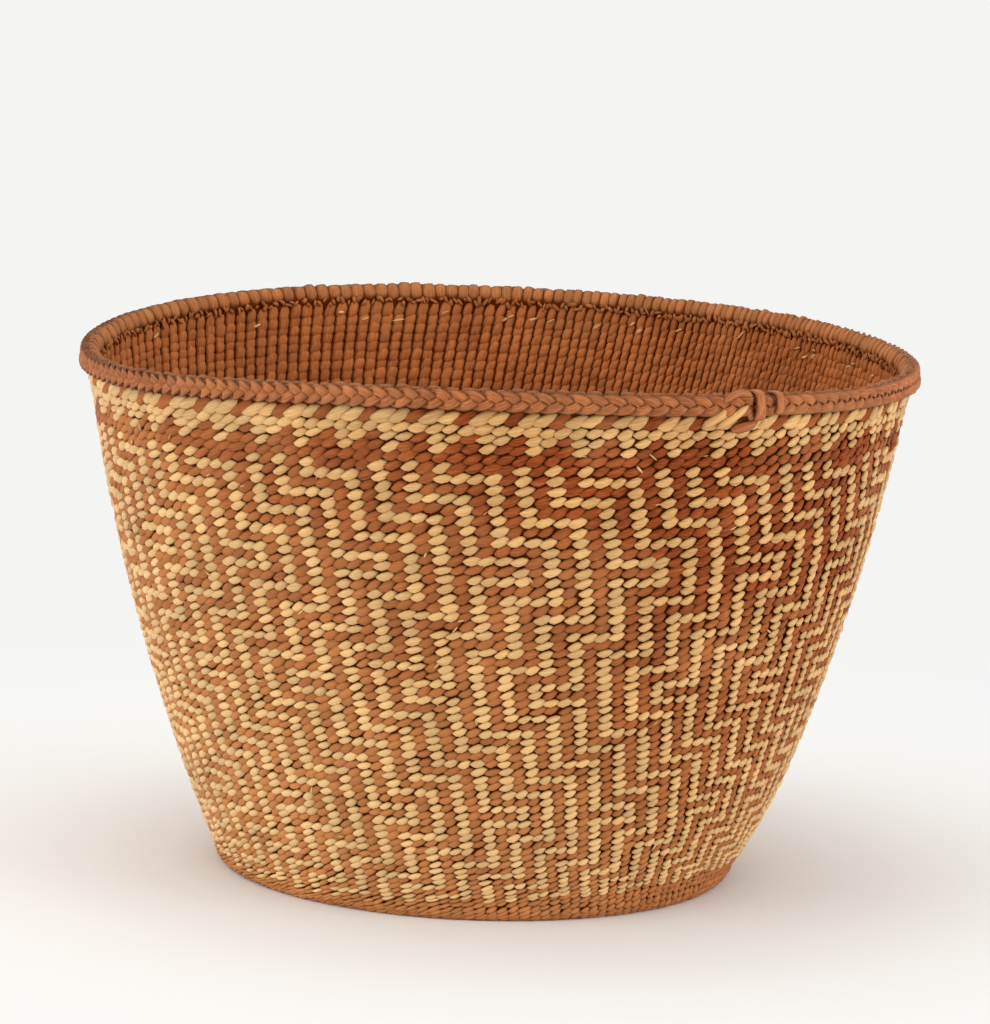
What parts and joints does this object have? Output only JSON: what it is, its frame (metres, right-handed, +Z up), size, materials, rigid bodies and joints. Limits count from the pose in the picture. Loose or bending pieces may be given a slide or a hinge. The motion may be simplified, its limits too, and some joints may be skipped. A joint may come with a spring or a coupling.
{
  "type": "twined storage basket",
  "caption": "Flaring twined storage basket with a flat base, a meander-figured wall and a braided rim.",
  "frame": {"origin": "middle of the base's underside, on the surface that the basket stands on", "axes": "+Z up through the opening, -Y towards the viewer of the picture, +X to that viewer's right"},
  "size_m": [0.2942, 0.3135, 0.1894],
  "materials": {
    "weft_brown": "split root, matt to satin",
    "warp_red_brown": "peeled root, matt",
    "figured_weft": "brown root weft with straw-coloured overlay",
    "straw_overlay": "dried grass strip, satin",
    "braid_brown": "flat split root, satin",
    "cut_ends": "trimmed root tips, matt"
  },
  "bodies": {
    "root": {"start_warps_lower": "warp_red_brown", "start_warps_upper": "warp_red_brown", "base_disc": "weft_brown", "foot_band": "weft_brown", "wall_warps": "warp_red_brown", "figured_wall": "figured_weft", "border_band": "straw_overlay", "edge_row": "straw_overlay", "rim_core": "braid_brown", "trimmed_ends": "cut_ends", "braid_strand_1": "braid_brown", "braid_strand_2": "braid_brown", "braid_strand_3": "braid_brown", "splice_strap": "braid_brown", "splice_wrap": "braid_brown", "tuck_strand": "straw_overlay"}
  },
  "joints": []
}
